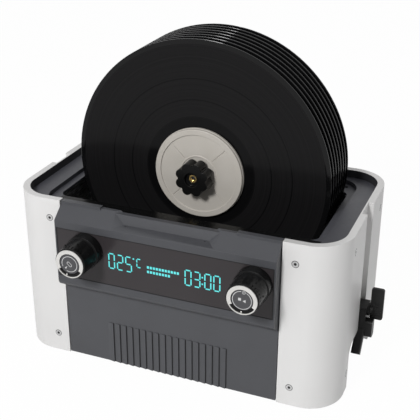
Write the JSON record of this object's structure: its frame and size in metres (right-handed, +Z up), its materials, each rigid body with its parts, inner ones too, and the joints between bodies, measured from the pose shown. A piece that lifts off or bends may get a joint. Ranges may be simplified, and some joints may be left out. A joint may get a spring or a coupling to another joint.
{
  "type": "record cleaning machine",
  "caption": "Ultrasonic bath for vinyl records: a steel tank in a cabinet with a console and dials, a driven spindle with clamped records, a lifting drive head and a drain valve.",
  "frame": {"origin": "on the table, at the middle of the cabinet's footprint between the feet", "axes": "+X to the right seen from the front, +Y to the back along the spindle, +Z up"},
  "size_m": [0.4068, 0.278, 0.3669],
  "materials": {
    "shell": "satin",
    "screw": "satin",
    "panel_plastic": "satin",
    "smoked_window": "gloss",
    "circuit_board": "satin",
    "digits": "gloss",
    "black_plastic": "gloss",
    "knob_silver": "polished",
    "button_grey": "satin",
    "frame_plastic": "satin",
    "tank_steel": "polished",
    "sheet_steel": "satin",
    "foot_rubber": "matte",
    "transducer_alloy": "satin",
    "heater_film": "matte",
    "rocker_red": "gloss",
    "bush_bronze": "satin",
    "rod_steel": "polished",
    "gear_plastic": "satin",
    "vinyl": "gloss",
    "clamp_plastic": "satin",
    "spacer_plastic": "satin",
    "brass": "polished"
  },
  "bodies": {
    "cabinet": {"left_shell": "shell", "right_shell": "shell", "cabinet_screws": "screw", "front_panel": "panel_plastic", "console": "panel_plastic", "display_window": "smoked_window", "display_board": "circuit_board", "digit_module": "digits", "left_knob_carrier": "black_plastic", "right_knob_carrier": "black_plastic", "knob_boards": "circuit_board", "splash_strip": "black_plastic", "top_frame": "frame_plastic", "tank": "tank_steel", "chassis": "sheet_steel", "base_pan": "sheet_steel", "feet": "foot_rubber", "transducers": "transducer_alloy", "heater_pads": "heater_film", "generator_board": "circuit_board", "power_supply": "sheet_steel", "rear_panel": "panel_plastic", "power_inlet": "black_plastic", "power_switch_body": "black_plastic", "fan_frame": "black_plastic", "drain_pipe": "sheet_steel", "drain_valve_body": "black_plastic", "guide_bushes": "bush_bronze"},
    "left_dial": {"left_knob": "black_plastic", "left_knob_ring": "knob_silver"},
    "right_dial": {"right_knob": "black_plastic", "right_knob_ring": "knob_silver"},
    "left_push": {"left_button": "button_grey"},
    "right_push": {"right_button": "button_grey"},
    "power_rocker": {"power_switch_rocker": "rocker_red"},
    "cooling_fan": {"fan_rotor": "black_plastic"},
    "drain_handle": {"drain_lever": "black_plastic"},
    "drive_head": {"drive_housing": "frame_plastic", "drive_cover": "frame_plastic", "guide_rods": "rod_steel", "motor_plate": "sheet_steel", "gear_motor": "sheet_steel", "front_bush": "bush_bronze", "rear_bush": "bush_bronze"},
    "motor_shaft": {"motor_pinion": "brass"},
    "record_stack": {"spindle": "rod_steel", "spindle_gear": "gear_plastic", "rear_clamp": "clamp_plastic", "spacers": "spacer_plastic", "record_1": "vinyl", "record_2": "vinyl", "record_3": "vinyl", "record_4": "vinyl", "record_5": "vinyl", "record_6": "vinyl", "record_7": "vinyl", "record_8": "vinyl"},
    "clamp_plate": {"front_clamp": "clamp_plastic"},
    "clamp_knob": {"star_knob": "black_plastic", "star_insert": "brass"}
  },
  "joints": [
    {"name": "head_lift", "type": "slide", "parent": "cabinet", "child": "drive_head", "axis": [0, 0, 1], "range_m": [0, 0.12]},
    {"name": "spindle_turn", "type": "hinge", "parent": "drive_head", "child": "record_stack", "pos_m": [0, 0.0665, 0.2161], "axis": [0, 1, 0], "continuous": true},
    {"name": "motor_turn", "type": "hinge", "parent": "drive_head", "child": "motor_shaft", "pos_m": [0, 0.0665, 0.235], "axis": [0, 1, 0], "continuous": true},
    {"name": "clamp_travel", "type": "slide", "parent": "record_stack", "child": "clamp_plate", "axis": [0, -1, 0], "range_m": [0, 0.003]},
    {"name": "clamp_knob_turn", "type": "hinge", "parent": "clamp_plate", "child": "clamp_knob", "pos_m": [0, -0.0205, 0.2161], "axis": [0, -1, 0], "range_deg": [0, 1080]},
    {"name": "left_dial_turn", "type": "hinge", "parent": "cabinet", "child": "left_dial", "pos_m": [-0.088, -0.12, 0.1537], "axis": [0, -1, 0], "continuous": true},
    {"name": "right_dial_turn", "type": "hinge", "parent": "cabinet", "child": "right_dial", "pos_m": [0.104, -0.12, 0.1537], "axis": [0, -1, 0], "continuous": true},
    {"name": "left_button_press", "type": "slide", "parent": "cabinet", "child": "left_push", "axis": [0, 1, 0], "range_m": [0, 0.0008], "stiffness_N_per_m": 600, "springref_m": -0.001},
    {"name": "right_button_press", "type": "slide", "parent": "cabinet", "child": "right_push", "axis": [0, 1, 0], "range_m": [0, 0.0008], "stiffness_N_per_m": 600, "springref_m": -0.001},
    {"name": "power_rocker_tilt", "type": "hinge", "parent": "cabinet", "child": "power_rocker", "pos_m": [-0.08, 0.104, 0.084], "axis": [0, 0, -1], "range_deg": [0, 18]},
    {"name": "fan_turn", "type": "hinge", "parent": "cabinet", "child": "cooling_fan", "pos_m": [0.075, 0.096, 0.067], "axis": [0, 1, 0], "continuous": true},
    {"name": "drain_lever_turn", "type": "hinge", "parent": "cabinet", "child": "drain_handle", "pos_m": [0.2, 0.002, 0.075], "axis": [1, 0, 0], "range_deg": [0, 90]}
  ],
  "couplings": [
    {"joint": "motor_turn", "follows": "spindle_turn", "ratio": -2},
    {"joint": "clamp_knob_turn", "follows": "clamp_travel", "rad_per_m": 6283.2}
  ]
}
